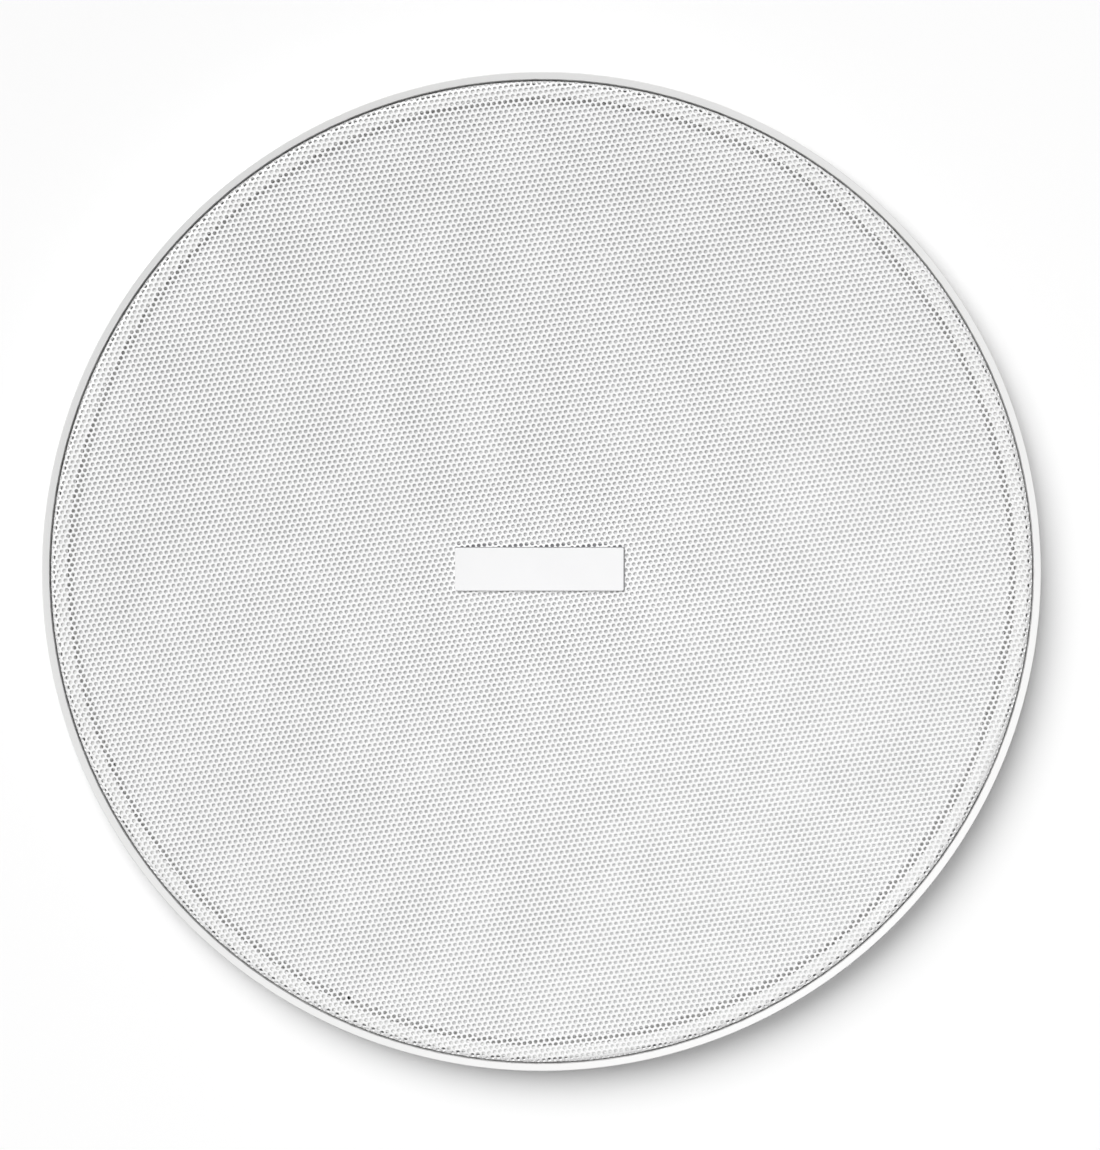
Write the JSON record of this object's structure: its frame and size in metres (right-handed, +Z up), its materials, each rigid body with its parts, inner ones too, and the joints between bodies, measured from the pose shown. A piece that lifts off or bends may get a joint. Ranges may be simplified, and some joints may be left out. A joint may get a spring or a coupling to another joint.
{
  "type": "in-ceiling loudspeaker",
  "caption": "Round flush in-ceiling loudspeaker with a perforated grille, woofer, bridge-mounted tweeter, crossover and swing-out screw clamps.",
  "frame": {"origin": "centre of the flange face that seats against the underside of the ceiling", "axes": "+Z up into the ceiling void, so the grille faces down; +X along the badge; Y along the tweeter bridge, with the crossover on the +Y side"},
  "size_m": [0.232, 0.232, 0.0841],
  "materials": {
    "white_abs": "satin",
    "white_paint": "satin",
    "scrim_cloth": "matte",
    "badge_plate": "satin",
    "nickel": "satin",
    "black_steel": "satin",
    "black_foam": "matte",
    "black_screws": "satin",
    "black_rubber": "matte",
    "cone_poly": "satin",
    "spider_cloth": "matte",
    "former_foil": "satin",
    "copper_wire": "satin",
    "zinc_steel": "satin",
    "ferrite": "matte",
    "phenolic": "matte",
    "tinned_brass": "satin",
    "black_lead": "satin",
    "black_plastic": "satin",
    "dome_silk": "matte",
    "board_green": "satin",
    "capacitor_film": "gloss",
    "resistor_ceramic": "matte",
    "red_plastic": "gloss",
    "grey_plastic": "gloss",
    "brass": "satin",
    "clamp_abs": "satin"
  },
  "bodies": {
    "frame": {"mounting_frame": "white_abs", "grille_magnets": "nickel", "woofer_basket": "black_steel", "woofer_gasket": "black_foam", "woofer_screws": "black_screws", "woofer_surround": "black_rubber", "woofer_spider": "spider_cloth", "motor_front_plate": "zinc_steel", "woofer_magnet": "ferrite", "motor_yoke": "zinc_steel", "terminal_strip": "phenolic", "terminal_lugs": "tinned_brass", "woofer_leads": "black_lead", "tweeter_bridge": "black_plastic", "bridge_screws": "black_screws", "tweeter_housing": "black_plastic", "tweeter_waveguide": "black_plastic", "tweeter_dome": "dome_silk", "tweeter_voice_coil": "copper_wire", "tweeter_pole_plate": "zinc_steel", "tweeter_magnet": "nickel", "tweeter_pot": "zinc_steel", "tweeter_leads": "black_lead", "crossover_board": "board_green", "board_screws": "zinc_steel", "inductor_bobbin": "black_plastic", "inductor_winding": "copper_wire", "crossover_capacitor": "capacitor_film", "crossover_resistor": "resistor_ceramic", "terminal_block": "black_plastic", "clamp_clips": "zinc_steel"},
    "grille": {"grille": "white_paint", "grille_scrim": "scrim_cloth", "grille_badge": "badge_plate"},
    "cone": {"woofer_cone": "cone_poly", "dust_cap": "cone_poly", "voice_coil_former": "former_foil", "voice_coil_winding": "copper_wire"},
    "button_red": {"terminal_button_red": "red_plastic"},
    "button_black": {"terminal_button_black": "grey_plastic"},
    "clamp_screw_1": {"clamp_screw_1": "zinc_steel"},
    "clamp_insert_1": {"clamp_insert_1": "brass"},
    "clamp_arm_1": {"clamp_arm_1": "clamp_abs"},
    "clamp_screw_2": {"clamp_screw_2": "zinc_steel"},
    "clamp_insert_2": {"clamp_insert_2": "brass"},
    "clamp_arm_2": {"clamp_arm_2": "clamp_abs"},
    "clamp_screw_3": {"clamp_screw_3": "zinc_steel"},
    "clamp_insert_3": {"clamp_insert_3": "brass"},
    "clamp_arm_3": {"clamp_arm_3": "clamp_abs"},
    "clamp_screw_4": {"clamp_screw_4": "zinc_steel"},
    "clamp_insert_4": {"clamp_insert_4": "brass"},
    "clamp_arm_4": {"clamp_arm_4": "clamp_abs"}
  },
  "joints": [
    {"name": "grille_pull", "type": "slide", "parent": "frame", "child": "grille", "axis": [0, 0, -1], "range_m": [0, 0.045]},
    {"name": "cone_travel", "type": "slide", "parent": "frame", "child": "cone", "axis": [0, 0, -1], "range_m": [-0.004, 0.004], "stiffness_N_per_m": 1200, "deforming": ["woofer_surround", "woofer_spider"]},
    {"name": "button_press_red", "type": "slide", "parent": "frame", "child": "button_red", "axis": [0, 0, -1], "range_m": [0, 0.0025], "stiffness_N_per_m": 600},
    {"name": "button_press_black", "type": "slide", "parent": "frame", "child": "button_black", "axis": [0, 0, -1], "range_m": [0, 0.0025], "stiffness_N_per_m": 600},
    {"name": "clamp_screw_turn_1", "type": "hinge", "parent": "frame", "child": "clamp_screw_1", "pos_m": [0.06075, 0.06989, 0], "axis": [0, 0, 1], "range_deg": [0, 5400]},
    {"name": "clamp_run_1", "type": "slide", "parent": "frame", "child": "clamp_insert_1", "axis": [0, 0, -1], "range_m": [0, 0.03]},
    {"name": "clamp_swing_1", "type": "hinge", "parent": "clamp_insert_1", "child": "clamp_arm_1", "pos_m": [0.06075, 0.06989, 0], "axis": [0, 0, 1], "range_deg": [0, 90]},
    {"name": "clamp_screw_turn_2", "type": "hinge", "parent": "frame", "child": "clamp_screw_2", "pos_m": [-0.06989, 0.06075, 0], "axis": [0, 0, 1], "range_deg": [0, 5400]},
    {"name": "clamp_run_2", "type": "slide", "parent": "frame", "child": "clamp_insert_2", "axis": [0, 0, -1], "range_m": [0, 0.03]},
    {"name": "clamp_swing_2", "type": "hinge", "parent": "clamp_insert_2", "child": "clamp_arm_2", "pos_m": [-0.06989, 0.06075, 0], "axis": [0, 0, 1], "range_deg": [0, 90]},
    {"name": "clamp_screw_turn_3", "type": "hinge", "parent": "frame", "child": "clamp_screw_3", "pos_m": [-0.06075, -0.06989, 0], "axis": [0, 0, 1], "range_deg": [0, 5400]},
    {"name": "clamp_run_3", "type": "slide", "parent": "frame", "child": "clamp_insert_3", "axis": [0, 0, -1], "range_m": [0, 0.03]},
    {"name": "clamp_swing_3", "type": "hinge", "parent": "clamp_insert_3", "child": "clamp_arm_3", "pos_m": [-0.06075, -0.06989, 0], "axis": [0, 0, 1], "range_deg": [0, 90]},
    {"name": "clamp_screw_turn_4", "type": "hinge", "parent": "frame", "child": "clamp_screw_4", "pos_m": [0.06989, -0.06075, 0], "axis": [0, 0, 1], "range_deg": [0, 5400]},
    {"name": "clamp_run_4", "type": "slide", "parent": "frame", "child": "clamp_insert_4", "axis": [0, 0, -1], "range_m": [0, 0.03]},
    {"name": "clamp_swing_4", "type": "hinge", "parent": "clamp_insert_4", "child": "clamp_arm_4", "pos_m": [0.06989, -0.06075, 0], "axis": [0, 0, 1], "range_deg": [0, 90]}
  ],
  "couplings": [
    {"joint": "clamp_screw_turn_1", "follows": "clamp_run_1", "rad_per_m": 3141.6},
    {"joint": "clamp_screw_turn_2", "follows": "clamp_run_2", "rad_per_m": 3141.6},
    {"joint": "clamp_screw_turn_3", "follows": "clamp_run_3", "rad_per_m": 3141.6},
    {"joint": "clamp_screw_turn_4", "follows": "clamp_run_4", "rad_per_m": 3141.6}
  ]
}
